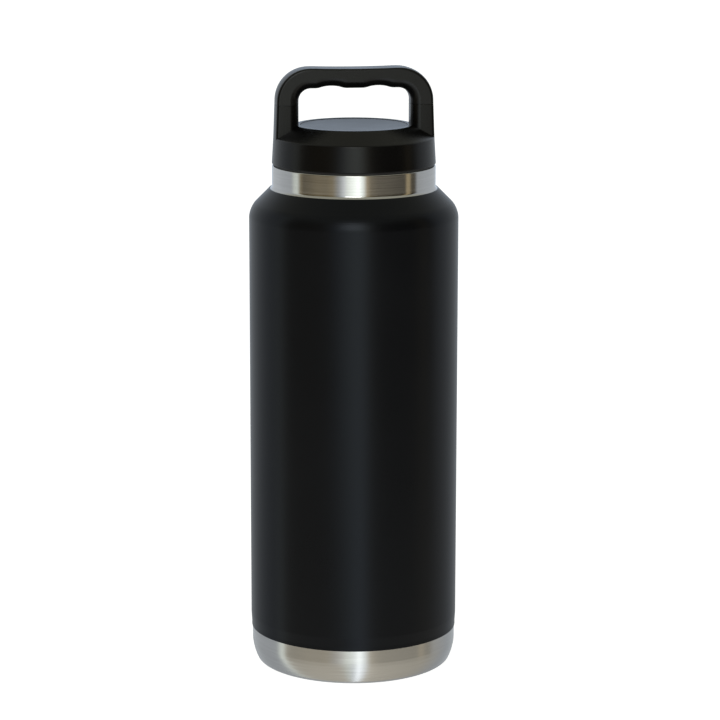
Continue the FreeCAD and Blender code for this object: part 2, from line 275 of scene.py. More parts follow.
# %% Ring marks: polishing and turning lines
OUTWARD_SLOPE = 1.7
rings, rings_in, rings_out = new_group(
    "ring_marks", {"Line Width": 0.0002, "Line Length": 0.02}, ["Height", "Streak"]
)
spot = add_node(rings, "ShaderNodeSeparateXYZ")
join(rings, (add_node(rings, "ShaderNodeTexCoord").outputs["Object"], spot.inputs[0]))
across_x = math_node(rings, "POWER", spot.outputs["X"], 2)
across_y = math_node(rings, "POWER", spot.outputs["Y"], 2)
radius = math_node(rings, "SQRT", math_node(rings, "ADD", across_x, across_y))
level = math_node(rings, "ADD", spot.outputs["Z"], math_node(rings, "MULTIPLY", radius, OUTWARD_SLOPE))
for spread, target in ((1.0, "Height"), (6.0, "Streak")):
    stretch = add_node(rings, "ShaderNodeCombineXYZ")
    width = math_node(rings, "MULTIPLY", rings_in.outputs["Line Width"], spread)
    noise = add_node(rings, "ShaderNodeTexNoise")
    noise.inputs["Scale"].default_value = 1.0
    noise.inputs["Detail"].default_value = 3.0
    join(
        rings,
        (math_node(rings, "DIVIDE", spot.outputs["X"], rings_in.outputs["Line Length"]), stretch.inputs["X"]),
        (math_node(rings, "DIVIDE", spot.outputs["Y"], rings_in.outputs["Line Length"]), stretch.inputs["Y"]),
        (math_node(rings, "DIVIDE", level, width), stretch.inputs["Z"]),
        (stretch.outputs[0], noise.inputs["Vector"]),
        (noise.outputs["Fac"], rings_out.inputs[target]),
    )
print("group ring_marks gives", [socket.name for socket in rings_out.inputs if socket.name])

# %% [markdown]
# A finish takes the groups' values to three places. Patches and specks shift the colour a little, the
# same values shift the roughness, and the height goes through a Bump node to the normal. Whatever is
# the same all over, such as metalness, is typed on the shader itself. Noise seldom leaves the middle of
# its range, so that middle is stretched over the whole range of a finish.

# %% Stretch a noise over a range
NOISE_LOW, NOISE_HIGH = 0.3, 0.7


def span(tree, value, at_low, at_high):
    spread = add_node(tree, "ShaderNodeMapRange")
    spread.inputs["From Min"].default_value = NOISE_LOW
    spread.inputs["From Max"].default_value = NOISE_HIGH
    spread.inputs["To Min"].default_value = at_low
    spread.inputs["To Max"].default_value = at_high
    tree.links.new(value, spread.inputs["Value"])
    return spread.outputs["Result"]


def two_tones(tree, value, dark, light):
    ramp = add_node(tree, "ShaderNodeValToRGB")
    for stop, place, tone in zip(ramp.color_ramp.elements, (NOISE_LOW, NOISE_HIGH), (dark, light)):
        stop.position = place
        stop.color = (*tone, 1)
    tree.links.new(value, ramp.inputs["Fac"])
    return ramp.outputs["Color"]


print("noise between", NOISE_LOW, "and", NOISE_HIGH, "covers a finish's whole range")

# %% One function for a finish
SLOW_SHARE, QUICK_SHARE = 0.7, 0.3


def finish(name, group, sizes, tones, rough, bump, metallic=0.0, ior=1.5, **fixed):
    """tones are dark and light, rough is smooth and rough, and bump is strength and depth in metres."""
    material = bpy.data.materials.new(name)
    material.use_nodes = True
    tree = material.node_tree
    shader = tree.nodes["Principled BSDF"]
    shader.inputs["Metallic"].default_value = metallic
    shader.inputs["IOR"].default_value = ior
    for label, value in fixed.items():
        shader.inputs[label.replace("_", " ")].default_value = value
    marks = add_node(tree, "ShaderNodeGroup", node_tree=group)
    for label, value in sizes.items():
        marks.inputs[label].default_value = value
    slow = marks.outputs["Patch" if group is grain else "Streak"]
    quick = marks.outputs["Speck" if group is grain else "Height"]
    relief = add_node(tree, "ShaderNodeBump")
    relief.inputs["Strength"].default_value, relief.inputs["Distance"].default_value = bump
    slow_part = math_node(tree, "MULTIPLY", slow, SLOW_SHARE)
    mix = math_node(tree, "ADD", slow_part, math_node(tree, "MULTIPLY", quick, QUICK_SHARE))
    join(
        tree,
        (two_tones(tree, mix, *tones), shader.inputs["Base Color"]),
        (span(tree, mix, *rough), shader.inputs["Roughness"]),
        (marks.outputs["Height"], relief.inputs["Height"]),
        (relief.outputs["Normal"], shader.inputs["Normal"]),
    )
    print("finish", name)
    return material


# %% [markdown]
# Powder coat is smooth enough to mirror the room softly, and its low IOR keeps that reflection dim, so the
# coat stays black. A faint blue tint on the reflection cools it. The neck and the base have the same steel
# with a different last step: a polishing wheel, then a coarser belt. Anisotropic stretches a highlight
# across the belt's marks, which is how brushed metal differs from plain rough metal.

# %% Finishes of the outside of the bottle
BRUSHED = {"Anisotropic": 0.9, "Anisotropic_Rotation": 0.25}
coat_black = finish(
    "black_powder_coat", grain, {"Grain Size": 0.0005, "Patch Size": 0.05},
    ((0.0015, 0.0016, 0.0020), (0.0028, 0.0029, 0.0035)), (0.27, 0.31), (0.30, 0.00005), ior=1.315,
    Specular_Tint=(0.80, 0.87, 1.0, 1.0),
)
neck_polish = finish(
    "polished_neck_steel", rings, {"Line Width": 0.00012, "Line Length": 0.03},
    ((0.61, 0.60, 0.585), (0.69, 0.68, 0.665)), (0.14, 0.18), (0.08, 0.00002),
    metallic=1.0, **BRUSHED,
)
base_brushed = finish(
    "brushed_base_steel", rings, {"Line Width": 0.00015, "Line Length": 0.02},
    ((0.585, 0.575, 0.56), (0.655, 0.645, 0.63)), (0.20, 0.25), (0.06, 0.00002),
    metallic=1.0, **BRUSHED,
)

# %% [markdown]
# The cap has three plastics that look alike until light rakes them: a hard moulding with fine spark-eroded
# grain, a softer grip that is a little duller, and a smooth plate. Each is nearly black, so its roughness
# and IOR do most of the work.

# %% Finishes of the cap
cap_plastic = finish(
    "black_cap_plastic", grain, {"Grain Size": 0.00035, "Patch Size": 0.02},
    ((0.0010, 0.0010, 0.0011), (0.0020, 0.0020, 0.0021)), (0.24, 0.28), (0.25, 0.00004), ior=1.35,
)
grip_rubber = finish(
    "soft_grip_rubber", grain, {"Grain Size": 0.0003, "Patch Size": 0.015},
    ((0.0016, 0.0016, 0.0017), (0.0030, 0.0030, 0.0031)), (0.25, 0.31), (0.3, 0.00004), ior=1.38,
)
disc_plastic = finish(
    "smooth_disc_plastic", grain, {"Grain Size": 0.0006, "Patch Size": 0.012},
    ((0.0060, 0.0064, 0.0068), (0.0090, 0.0094, 0.0100)), (0.30, 0.35), (0.15, 0.00003), ior=1.43,
)
plug_plastic = finish(
    "black_plug_plastic", grain, {"Grain Size": 0.0004, "Patch Size": 0.02},
    ((0.009, 0.009, 0.009), (0.015, 0.015, 0.015)), (0.33, 0.42), (0.2, 0.00004),
)
seal_silicone = finish(
    "grey_seal_silicone", grain, {"Grain Size": 0.0003, "Patch Size": 0.01},
    ((0.010, 0.010, 0.0105), (0.018, 0.018, 0.0185)), (0.5, 0.62), (0.2, 0.00004), ior=1.41,
)

# %% [markdown]
# The rest shows only when the cap is off or the bottle is cut open. Satin steel is pickled, not polished,
# so it is rougher. Foil is bright and crinkled, so its bump is strong and its grain is large.

# %% Finishes of the inside
liner_satin = finish(
    "satin_liner_steel", rings, {"Line Width": 0.0003, "Line Length": 0.04},
    ((0.52, 0.51, 0.50), (0.62, 0.61, 0.595)), (0.3, 0.42), (0.15, 0.00003), metallic=1.0,
)
foil_bright = finish(
    "crinkled_foil", grain, {"Grain Size": 0.004, "Patch Size": 0.02},
    ((0.80, 0.80, 0.81), (0.90, 0.90, 0.91)), (0.12, 0.22), (0.6, 0.0003), metallic=1.0,
)
getter_grey = finish(
    "pressed_getter_alloy", grain, {"Grain Size": 0.0005, "Patch Size": 0.003},
    ((0.10, 0.095, 0.09), (0.17, 0.165, 0.16)), (0.6, 0.75), (0.5, 0.0001),
)
port_glass = finish(
    "fused_port_glass", grain, {"Grain Size": 0.0008, "Patch Size": 0.002},
    ((0.10, 0.12, 0.10), (0.16, 0.18, 0.15)), (0.08, 0.15), (0.3, 0.00005),
)
foam_cream = finish(
    "cream_foam", grain, {"Grain Size": 0.0009, "Patch Size": 0.01},
    ((0.62, 0.56, 0.42), (0.76, 0.71, 0.56)), (0.8, 0.9), (0.8, 0.0003),
)

# %% [markdown]
# ## The bottle's outside
#
# The coat is a skin of baked powder, 0.3 mm thick, that ends in a thin step above the bare base and
# below the bare neck. Modelling it as its own closed skin, not as a colour on the steel, gives those
# two steps a real edge that catches the light. All the bottle's skins follow one shoulder, a 45 degree
# cone with one round, so each is worked out from its distance inside the outermost one.

# %% Shoulder geometry, shared by every skin of the bottle
SHOULDER_ROUND = 9.2
STRAIGHT_TOP = 196.7


def shoulder(inset):
    """Where a skin's straight side would meet its cone if there were no round."""
    return body_radius - inset, STRAIGHT_TOP + (SHOULDER_ROUND - inset) * math.tan(math.pi / 8)


def rounded_shoulder(inset):
    return (*shoulder(inset), SHOULDER_ROUND - inset)


def cone_radius(inset, height):
    corner_radius, corner_height = shoulder(inset)
    return corner_radius - (height - corner_height)


def cone_height(inset, radius):
    corner_radius, corner_height = shoulder(inset)
    return corner_height + corner_radius - radius


print(f"the coat's cone meets its top edge at radius {cone_radius(0, coat_top):.2f}")

# %% The powder coat
TAPER = 4.0
COAT_EDGE_ROUND = 0.12
finish_piece(
    turned([
        (band_radius, coat_low),
        (band_radius + COAT, coat_low, COAT_EDGE_ROUND),
        (band_radius + COAT, weld_level),
        (body_radius, weld_level + TAPER),
        rounded_shoulder(0),
        (cone_radius(0, coat_top), coat_top, COAT_EDGE_ROUND),
        (cone_radius(COAT, coat_top), coat_top),
        rounded_shoulder(COAT),
        (body_radius - COAT, weld_level + TAPER),
        (band_radius, weld_level),
    ]),
    "coat_skin", "bottle", ["body_coat"], coat_black,
)

# %% [markdown]
# The outer wall is drawn from one tube. Only its neck shows: a polished ring between the coat and the
# cap. The small round at the neck's foot and the tiny one at the rim draw the thin bright lines that say
# "metal". The inside of the wall is modelled too, because the piece is a sheet with a thickness.

# %% The outer steel wall
RIM_ROUND = 0.55
NECK_FOOT_ROUND = 1.2
inner_neck = NECK_RADIUS - SHELL_WALL
shell_inside = COAT + SHELL_WALL
finish_piece(
    turned([
        (band_radius - SHELL_WALL, weld_level),
        (band_radius, weld_level),
        (body_radius - COAT, weld_level + TAPER),
        rounded_shoulder(COAT),
        (NECK_RADIUS, cone_height(COAT, NECK_RADIUS), NECK_FOOT_ROUND),
        (NECK_RADIUS, rim, RIM_ROUND),
        (inner_neck, rim),
        (inner_neck, cone_height(shell_inside, inner_neck)),
        rounded_shoulder(shell_inside),
        (body_radius - shell_inside, weld_level + TAPER),
    ]),
    "outer_wall", "bottle", ["outer_shell"], neck_polish,
)

# %% [markdown]
# The base is a drawn cup, welded to the wall just above the coat's lower edge. Its flank leans in with
# a long soft round before the foot ring, which is why its reflection darkens downwards. Inside the foot
# ring a shallow recess keeps the evacuation port off the table, and the round hole is that port.

# %% The base cup
FOOT_INNER = 37.0
RECESS = 1.7
PORT_RADIUS = 1.5
TUCK_HEIGHT, TUCK_IN = 5.5, 3.0
FLANK_ROUND, FOOT_ROUND, PRESSED_ROUND = 17.3, 3.0, 0.25
INNER_FLANK_ROUND, INNER_FOOT_ROUND = 16.5, 2.2
lean = math.atan(TUCK_IN / TUCK_HEIGHT)
inner_wall = band_radius - SHELL_WALL
inner_bend = TUCK_HEIGHT + SHELL_WALL * math.tan(lean / 2)
finish_piece(
    turned([
        (band_radius, weld_level),
        (band_radius, TUCK_HEIGHT, FLANK_ROUND),
        (band_radius - TUCK_IN, 0.0, FOOT_ROUND),
        (FOOT_INNER, 0.0, PRESSED_ROUND),
        (FOOT_INNER, RECESS, PRESSED_ROUND),
        (PORT_RADIUS, RECESS),
        (PORT_RADIUS, RECESS + SHELL_WALL),
        (FOOT_INNER + SHELL_WALL, RECESS + SHELL_WALL),
        (FOOT_INNER + SHELL_WALL, SHELL_WALL),
        (inner_wall - (inner_bend - SHELL_WALL) * math.tan(lean), SHELL_WALL, INNER_FOOT_ROUND),
        (inner_wall, inner_bend, INNER_FLANK_ROUND),
        (inner_wall, weld_level),
    ]),
    "brushed_base", "bottle", ["base_cup"], base_brushed,
)

# %% [markdown]
# A thin plate is glued over the port. It is a flat disc with a narrow step round its edge, and that step
# gives it a second ring of light.

# %% The plate under the base
STEP_HEIGHT = 0.12
STEP_STARTS, STEP_ENDS = 1.4, 0.9
plate = high("base_disc")
plate_low = low("base_disc").z
step_top = plate_low + STEP_HEIGHT
finish_piece(
    turned([
        (0, plate_low), (plate.x - STEP_STARTS, plate_low), (plate.x - STEP_ENDS, step_top),
        (plate.x, step_top, 0.1), (plate.x, plate.z), (0, plate.z),
    ], closed=False),
    "base_plate", "bottle", ["base_disc"], base_brushed,
)

# %% [markdown]
# ## The inner wall
#
# Drink only touches this wall. It is a tube, a neck with the thread rolled in, and a drawn floor,
# welded together. The thread shows once the cap is off, so its two ribs are real helices: a small
# section spun with a dvec climbs as it turns. A Screw modifier does the same, but its ends stay blunt, and
# these have to fade into the wall, as a rolled thread does.

# %% A thread rib
THREAD = {"lead": 8.0, "turns": 0.75, "root": 1.5, "crest": 0.9, "height": 1.4, "bite": 0.3, "round": 0.18}
RIB_STEPS = 150
RIB_FADE = math.radians(22)
LEAST_REACH = 0.2
PAST_END = math.radians(6)


def thread_rib(bm, wall, height, level, start_angle):
    """One helical rib. A negative height stands inwards from its wall."""
    side = math.copysign(1, height)
    foot = wall - side * THREAD["bite"]
    crest = wall + height
    section = [(foot, -THREAD["root"] / 2), (crest, -THREAD["crest"] / 2),
               (crest, THREAD["crest"] / 2), (foot, THREAD["root"] / 2)]
    rib = wire([(r, z, THREAD["round"]) if r == crest else (r, z) for r, z in section], closed=True)
    face = bmesh.ops.contextual_create(rib, geom=rib.edges)["faces"]
    turn = math.tau * THREAD["turns"]
    bmesh.ops.spin(
        rib, geom=face + rib.edges[:] + rib.verts[:], cent=(0, 0, 0), axis=(0, 0, 1), angle=turn,
        dvec=(0, 0, THREAD["lead"] * THREAD["turns"] / RIB_STEPS), steps=RIB_STEPS,
    )
    for vert in rib.verts:
        at = math.atan2(vert.co.y, vert.co.x) % math.tau
        if at > turn + PAST_END:  # a hair before the start reads as nearly a full turn
            at = 0
        to_end = max(0.0, min(1.0, at / RIB_FADE, (turn - at) / RIB_FADE))
        share = LEAST_REACH + (1 - LEAST_REACH) * math.sin(to_end * math.pi / 2)
        reach = vert.co.xy.length
        vert.co.xy *= (foot + (reach - foot) * share) / reach
    bmesh.ops.recalc_face_normals(rib, faces=rib.faces)
    bmesh.ops.rotate(rib, verts=rib.verts, cent=(0, 0, 0), matrix=Matrix.Rotation(start_angle, 3, "Z"))
    bmesh.ops.translate(rib, verts=rib.verts, vec=(0, 0, level))
    scrap = bpy.data.meshes.new("rib")
    rib.to_mesh(scrap)
    rib.free()
    bm.from_mesh(scrap)
    bpy.data.meshes.remove(scrap)


print(f"a rib climbs {THREAD['lead'] * THREAD['turns']:.1f} mm in {THREAD['turns']} of a turn")

# %% The liner's tube
liner_outer = body_radius - LINER_INSET
liner_bore = liner_outer - LINER_WALL
tube_low, tube_top = low("inner_liner").z, high("inner_liner").z
finish_piece(
    turned([
        (liner_bore, tube_low), (liner_outer, tube_low), (liner_outer, tube_top), (liner_bore, tube_top),
    ]),
    "liner_tube", "bottle", ["inner_liner"], liner_satin,
)

# %% The liner's mouth, with its two ribs
THREAD_STARTS = 2
RIB_BELOW_RIM = 9.6
WELD_LIP = 0.8
bore_inset = LINER_INSET + LINER_WALL
outer_neck = MOUTH_RADIUS + LINER_WALL
mouth = turned([
    (liner_outer, tube_top),
    rounded_shoulder(LINER_INSET),
    (outer_neck, cone_height(LINER_INSET, outer_neck)),
    (outer_neck, rim - WELD_LIP),
    (inner_neck, rim - WELD_LIP),
    (inner_neck, rim),
    (MOUTH_RADIUS, rim, RIM_ROUND),
    (MOUTH_RADIUS, cone_height(bore_inset, MOUTH_RADIUS)),
    rounded_shoulder(bore_inset),
    (liner_bore, tube_top),
])
for start in range(THREAD_STARTS):
    start_angle = math.tau * start / THREAD_STARTS
    thread_rib(mouth, MOUTH_RADIUS, -THREAD["height"], rim - RIB_BELOW_RIM, start_angle)
finish_piece(mouth, "liner_mouth", "bottle", ["liner_neck"], liner_satin)

# %% The liner's drawn floor
FLOOR_ROUND = 9.0
floor_low = low("liner_bottom").z
floor_top = floor_low + LINER_WALL
finish_piece(
    turned([
        (0, floor_low), (liner_outer, floor_low, FLOOR_ROUND), (liner_outer, tube_low),
        (liner_bore, tube_low), (liner_bore, floor_top, FLOOR_ROUND - LINER_WALL), (0, floor_top),
    ], closed=False),
    "liner_floor", "bottle", ["liner_bottom"], liner_satin,
)

# %% [markdown]
# ## The cap
#
# The cap is one black moulding: a skirt, a cone, a raised lip round a shallow recess, and the two posts
# of the handle. It is spun like the bottle. Leaving the posts as pieces that only poke into the cone would
# be quicker, but one moulding has one skin, so they are joined to it further down with a Boolean union.

# %% The dome of the cap
SKIRT_TOP = 231.11
SKIRT_TOP_RADIUS = 34.475
PLATEAU_RADIUS = 25.2
RECESS_RADIUS = 22.9
SKIRT_BORE = 33.6
LEDGE = 31.6
LEDGE_TOP = 230.47
ROOF_RADIUS = 27.75
ROOF_WALL = 2.0
DISC_SET_DOWN = 0.2
roof = recess_floor - ROOF_WALL
plateau = disc_edge + DISC_SET_DOWN


def cap_dome():
    return turned([
        (0, recess_floor),
        (RECESS_RADIUS, recess_floor, 0.2),
        (RECESS_RADIUS, plateau, 0.25),
        (PLATEAU_RADIUS, plateau, 0.8),
        (SKIRT_TOP_RADIUS, SKIRT_TOP, 0.9),
        (skirt_bottom_radius, skirt_bottom, 0.3),
        (SKIRT_BORE, skirt_bottom, 0.2),
        (SKIRT_BORE, flange_top),
        (LEDGE, flange_top),
        (LEDGE, LEDGE_TOP),
        (ROOF_RADIUS, roof),
        (0, roof),
    ], closed=False)


print(f"plateau at {plateau:.2f}, cone from radius {SKIRT_TOP_RADIUS} to {PLATEAU_RADIUS}")

# %% [markdown]
# The handle starts as its front outline: an upside-down U whose inner edge has two finger hollows. Each
# hollow is three rounded corners, so its curve flows into the flat bar on both sides. The bar's top is
# sunk by a third of a millimetre in the middle, which keeps it from looking ruled.

# %% The outline of the handle
HOLLOW = {"centre": 10.1, "half": 6.6, "depth": 1.15, "lobe": 6.0}
OPENING_HALF = 24.0
OPENING_ROUND = 5.2
UNDERSIDE = 252.21
TOP_CORNER = 14.0
SADDLE = {"half": 20.0, "dip": 0.35, "steps": 10}
DRAFT = math.tan(math.radians(2.1))
SINK = 1.6
INNER_SINK = 1.2
shoulder_x = SKIRT_TOP_RADIUS - (handle_top - SKIRT_TOP) * DRAFT


def saddle_points():
    half, dip, steps = SADDLE["half"], SADDLE["dip"], SADDLE["steps"]
    return [
        (half - half / steps * step, handle_top - dip * (1 - (1 - step / steps) ** 2))
        for step in range(1, 2 * steps)
    ]


def loop_outline():
    slope = 2 * math.atan(HOLLOW["depth"] / HOLLOW["half"])
    deep = HOLLOW["half"] / math.sin(slope) - HOLLOW["lobe"]
    reach = HOLLOW["half"] - HOLLOW["lobe"] * math.tan(slope / 2)
    peak = UNDERSIDE + reach * math.tan(slope)
    foot = SKIRT_TOP - SINK
    inner_foot = plateau - INNER_SINK
    outer_foot = SKIRT_TOP_RADIUS + SINK * DRAFT
    corners = [(-OPENING_HALF, inner_foot), (-OPENING_HALF, UNDERSIDE, OPENING_ROUND)]
    for centre in (-HOLLOW["centre"], HOLLOW["centre"]):
        corners += [(centre - reach, UNDERSIDE, HOLLOW["lobe"]), (centre, peak, deep),
                    (centre + reach, UNDERSIDE, HOLLOW["lobe"])]
    corners += [(OPENING_HALF, UNDERSIDE, OPENING_ROUND), (OPENING_HALF, inner_foot), (outer_foot, foot),
                (shoulder_x, handle_top, TOP_CORNER)]
    corners += saddle_points()
    corners += [(-shoulder_x, handle_top, TOP_CORNER), (-outer_foot, foot)]
    return corners


print("the outline has", len(loop_outline()), "corners")

# %% [markdown]
# One face of that outline is extruded back to the handle's thickness. Its long sides are then of three
# kinds: the outside, the inside of the opening, and the two feet that sink into the cone. A side's normal
# tells them apart, because on the outside it points away from the middle of the opening.

# %% Sort the sides of the loop
MIDDLE = Vector((0, 0, 240))
EDGE_ON, FACING = 0.5, 0.9


def is_side(face):
    return abs(face.normal.y) < EDGE_ON


def is_foot(face):
    return face.normal.z < -EDGE_ON and face.calc_center_median().z < grip_seam


def is_outside(face):
    centre = face.calc_center_median()
    away = face.normal.dot(Vector((centre.x, 0, centre.z)) - MIDDLE) > 0
    return is_side(face) and away and face.normal.z >= -EDGE_ON


def bevel_edges(bm, sides, width, steps):
    """Round the edges where these sides meet the flat front and back."""
    edges = {
        edge for side in sides for edge in side.edges
        if any(abs(face.normal.y) > FACING for face in edge.link_faces)
    }
    bmesh.ops.bevel(
        bm, geom=list(edges), offset=width, offset_type="OFFSET", segments=steps, profile=0.5,
        affect="EDGES", clamp_overlap=False, loop_slide=True, material=-1,
    )


print("the opening's middle is at height", MIDDLE.z)

# %% [markdown]
# The inner edges get a wide bevel for the fingers and the outer ones a narrow one. A Bevel modifier has one
# width for all, so the operator is called twice. Between the two, the outsides are cut into strips, and
# their points are moved in to lie on the round skirt, which the posts continue.

# %% The loop of the handle
FINGER_ROUND, OUTER_ROUND = 4.0, 1.0
FINGER_STEPS, OUTER_STEPS = 9, 6
STRIPS = 9


def extruded_outline():
    bm = wire(loop_outline(), closed=True)
    bmesh.ops.translate(bm, verts=bm.verts, vec=(0, -handle_half, 0))
    face = bmesh.ops.contextual_create(bm, geom=bm.edges)["faces"][0]
    back = bmesh.ops.extrude_face_region(bm, geom=[face], use_keep_orig=True)["geom"]
    moved = [item for item in back if isinstance(item, bmesh.types.BMVert)]
    bmesh.ops.translate(bm, verts=moved, vec=(0, 2 * handle_half, 0))
    bmesh.ops.recalc_face_normals(bm, faces=bm.faces)
    bm.normal_update()
    return bm


def wrap_round_skirt(bm):
    bar_end = shoulder_x - TOP_CORNER
    for vert in {vert for face in bm.faces if is_outside(face) for vert in face.verts}:
        reach = max(abs(vert.co.x), bar_end)
        vert.co.x *= math.sqrt(1 - (vert.co.y / reach) ** 2)
    bm.normal_update()


def handle_loop():
    bm = extruded_outline()
    outer = [face for face in bm.faces if is_outside(face)]
    inner = [face for face in bm.faces if is_side(face) and not is_outside(face) and not is_foot(face)]
    crossing = {edge for face in outer for edge in face.edges
                if abs(edge.verts[0].co.y - edge.verts[1].co.y) > handle_half}
    bevel_edges(bm, inner, FINGER_ROUND, FINGER_STEPS)
    lasting = [edge for edge in crossing if edge.is_valid]
    bmesh.ops.subdivide_edges(bm, edges=lasting, cuts=STRIPS, use_grid_fill=True)
    bm.normal_update()
    wrap_round_skirt(bm)
    bevel_edges(bm, [face for face in bm.faces if is_outside(face)], OUTER_ROUND, OUTER_STEPS)
    return bm


print(f"the handle is {2 * handle_half:.1f} thick")

# %% [markdown]
# The soft grip ends half-way down each post. The same loop is made twice: bisect_plane keeps the part
# above the seam for the grip and the part below it for the posts. Both cut ends are filled and get a small
# bevel, so a fine groove runs round the post where they meet.

# %% Cut the loop at the seam
SEAM_BEVEL = 0.22


def cut_at_seam(bm, keep_above):
    cut = bmesh.ops.bisect_plane(
        bm, geom=bm.verts[:] + bm.edges[:] + bm.faces[:], dist=SAME_POINT, plane_co=(0, 0, grip_seam),
        plane_no=(0, 0, 1), clear_inner=keep_above, clear_outer=not keep_above,
    )["geom_cut"]
    rims = [item for item in cut if isinstance(item, bmesh.types.BMEdge)]
    bmesh.ops.edgeloop_fill(bm, edges=rims)
    bmesh.ops.recalc_face_normals(bm, faces=bm.faces)
    bmesh.ops.bevel(
        bm, geom=rims, offset=SEAM_BEVEL, offset_type="OFFSET", segments=2, profile=0.5, affect="EDGES",
        clamp_overlap=True, material=-1,
    )
    return bm


grip = finish_piece(
    cut_at_seam(handle_loop(), True), "grip_sleeve", "cap", ["handle_grip"], grip_rubber,
)

# %% [markdown]
# The posts are joined to the turned cap with the exact Boolean, the slow one that also gets the coplanar
# and nearly touching faces right. Its result replaces the cap's mesh, so no modifier waits to be worked out
# and the tool can be removed.

# %% The cap's moulding
UNION_SHARP = math.radians(30)
cap = finish_piece(cap_dome(), "cap_moulding", "cap", ["cap_shell"], cap_plastic)
posts, _ = to_object(cut_at_seam(handle_loop(), False), "posts")
union = cap.modifiers.new("posts", "BOOLEAN")
union.operation = "UNION"
union.solver = "EXACT"
union.object = posts
view_layer = bpy.context.evaluated_depsgraph_get()
joined = bpy.data.meshes.new_from_object(cap.evaluated_get(view_layer))
cap.modifiers.clear()
cap.data = joined
bpy.data.objects.remove(posts)
joined.shade_smooth()
joined.set_sharp_from_angle(angle=UNION_SHARP)
print("cap moulding with posts:", len(joined.polygons), "faces")

# %% [markdown]
# A bevel beside a large flat face makes that face look swollen, because smooth shading averages their
# normals. The Weighted Normal modifier lets the large face win.

# %% Keep flat faces flat
for piece in (cap, grip):
    weighted = piece.modifiers.new("flat_faces_stay_flat", "WEIGHTED_NORMAL")
    weighted.keep_sharp = True
    weighted.weight = 100
    print(piece.name, "has weighted normals")

# %% [markdown]
# A thin plate lies in the recess. Its top is dished by less than a millimetre, which is enough to give
# it one soft gradient from front to back.

# %% The plate in the cap's top
DISH = 0.7
DISH_STEPS = 24
disc_radius = high("top_disc").x
bowl = [
    (disc_radius * step / DISH_STEPS, disc_edge - DISH * (1 - (step / DISH_STEPS) ** 2))
    for step in reversed(range(DISH_STEPS))
]
edge_of_disc = [(0, recess_floor), (disc_radius, recess_floor), (disc_radius, disc_edge, 0.12)]
finish_piece(
    turned(edge_of_disc + bowl, closed=False),
    "top_plate", "cap", ["top_disc"], disc_plastic,
)

# %% [markdown]
# ## The plug and the seal
#
# Under the cap hangs a hollow plug with the matching thread. Its ribs run just under the neck's ribs,
# which is what pulls the cap down on its seal. The seal is a washer of soft silicone with a bead.

# %% The plug's stem
PLUG_RADIUS = 30.2
PLUG_BORE = 28.4
FLANGE_GAP = 0.1
RIB_DROP = 1.7
flange_radius = SKIRT_BORE - FLANGE_GAP
stem = turned([
    (PLUG_BORE, plug_low),
    (PLUG_RADIUS, plug_low, 0.8),
    (PLUG_RADIUS, flange_bottom),
    (flange_radius, flange_bottom),
    (flange_radius, flange_top),
    (PLUG_BORE, flange_top),
])
for start in range(THREAD_STARTS):
    start_angle = math.tau * start / THREAD_STARTS
    thread_rib(stem, PLUG_RADIUS, THREAD["height"], rim - RIB_BELOW_RIM - RIB_DROP, start_angle)
finish_piece(stem, "plug_stem", "cap", ["plug"], plug_plastic)

# %% The plug's floor
PANEL_RISE = 0.5
PANEL_MARGIN, PANEL_SLOPE = 2.5, 2.5
panel = plug_low + PANEL_RISE
panel_foot = PLUG_BORE - PANEL_MARGIN
plug_floor_top = high("plug_base").z
finish_piece(
    turned([
        (0, panel), (panel_foot - PANEL_SLOPE, panel, 2.0), (panel_foot, plug_low, 1.0),
        (PLUG_BORE, plug_low), (PLUG_BORE, plug_floor_top), (0, plug_floor_top),
    ], closed=False),
    "plug_floor", "cap", ["plug_base"], plug_plastic,
)

# %% The silicone seal
SEAL_ROUND, BEAD_ROUND = 0.2, 0.3
seal_bore = PLUG_RADIUS + 0.4
seal_step = SKIRT_BORE - 0.2
seal_outer = high("seal_ring").x
finish_piece(
    turned([
        (seal_bore, rim, SEAL_ROUND), (seal_outer, rim, SEAL_ROUND), (seal_outer, skirt_bottom, SEAL_ROUND),
        (seal_step, skirt_bottom), (seal_step, flange_bottom, BEAD_ROUND),
        (seal_bore, flange_bottom, BEAD_ROUND),
    ]),
    "silicone_seal", "seal", ["seal_ring"], seal_silicone,
)

# %% [markdown]
# ## What nobody sees
#
# The vacuum holds a foil wrap, a getter pellet under its strap, and the bead in the evacuation port.
# Foam fills the cap. Their CAD shapes are already right, so they only get their own finishes.

# %% Finishes for the hidden nodes
for node, material in (
    ("radiation_foil", foil_bright),
    ("getter", getter_grey),
    ("getter_strap", liner_satin),
    ("port_seal", port_glass),
    ("foam_core", foam_cream),
):
    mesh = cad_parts[node].data
    mesh.materials.clear()
    mesh.materials.append(material)
    print(node, "gets", material.name)

# %% [markdown]
# ## The studio
#
# The bottle stands on a pale sheet of paper that glows a little, so it stays white with soft lights. It
# stays out of the reflections, as it does when a black card lies before a bottle.

# %% Floor
FLOOR_HALF = 14
floor_mesh = bpy.data.meshes.new("floor")
sheet = bmesh.new()
bmesh.ops.create_grid(sheet, x_segments=1, y_segments=1, size=FLOOR_HALF)
sheet.to_mesh(floor_mesh)
sheet.free()
floor = bpy.data.objects.new("floor", floor_mesh)
bpy.context.scene.collection.objects.link(floor)
floor.visible_glossy = False
floor.visible_shadow = False
paper = bpy.data.materials.new("pale_paper")
paper.use_nodes = True
paper_shader = paper.node_tree.nodes["Principled BSDF"]
paper_shader.inputs["Base Color"].default_value = (0.8, 0.8, 0.8, 1)
paper_shader.inputs["Roughness"].default_value = 0.9
paper_shader.inputs["Specular IOR Level"].default_value = 0.1
paper_shader.inputs["Emission Color"].default_value = (1, 1, 1, 1)
paper_shader.inputs["Emission Strength"].default_value = 0.82
floor_mesh.materials.append(paper)
print("floor", 2 * FLOOR_HALF, "m square")

